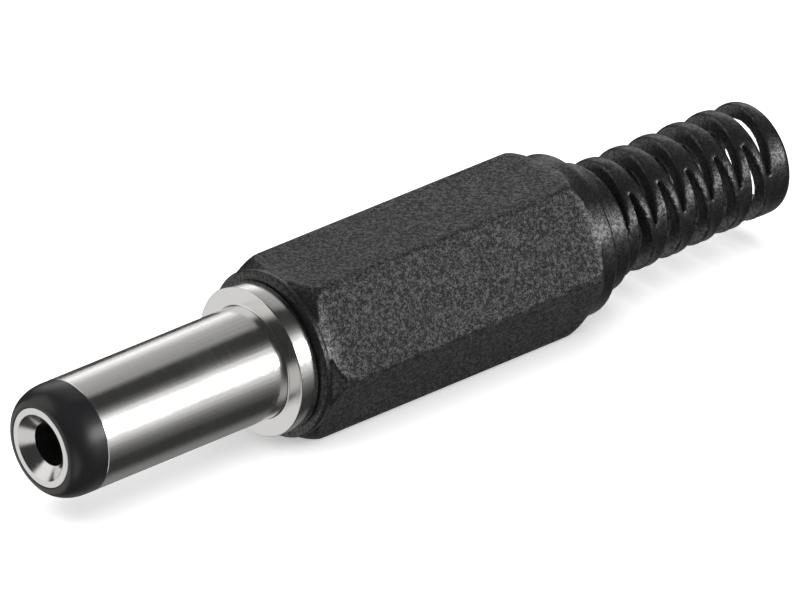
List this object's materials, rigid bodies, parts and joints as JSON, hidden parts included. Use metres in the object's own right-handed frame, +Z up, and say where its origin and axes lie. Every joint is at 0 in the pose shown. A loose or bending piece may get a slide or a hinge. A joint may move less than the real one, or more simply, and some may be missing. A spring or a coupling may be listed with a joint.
{
  "type": "dc barrel plug",
  "caption": "Straight DC power plug with a round barrel contact, a hexagonal screw-on cover and a slotted kink guard for the cable.",
  "frame": {"origin": "on the plug's axis, at the collar's front face, where the barrel begins", "axes": "+X along the plug's axis from the mouth towards the kink guard, +Z up out of one flat of the hexagon, +Y sideways"},
  "size_m": [0.0436, 0.009, 0.0082],
  "materials": {
    "nickel_plate": "polished",
    "black_insulator": "gloss",
    "tinned_brass": "satin",
    "fibre": "matte",
    "black_moulding": "satin"
  },
  "bodies": {
    "contacts": {"sleeve_contact": "nickel_plate", "insulating_bush": "black_insulator", "centre_contact": "nickel_plate", "sleeve_lug": "tinned_brass", "insulating_washer": "fibre", "centre_lug": "tinned_brass"},
    "cover": {"cover": "black_moulding"}
  },
  "joints": [
    {"name": "cover_unscrew", "type": "slide", "parent": "contacts", "child": "cover", "axis": [1, 0, 0], "range_m": [0, 0.025]}
  ]
}
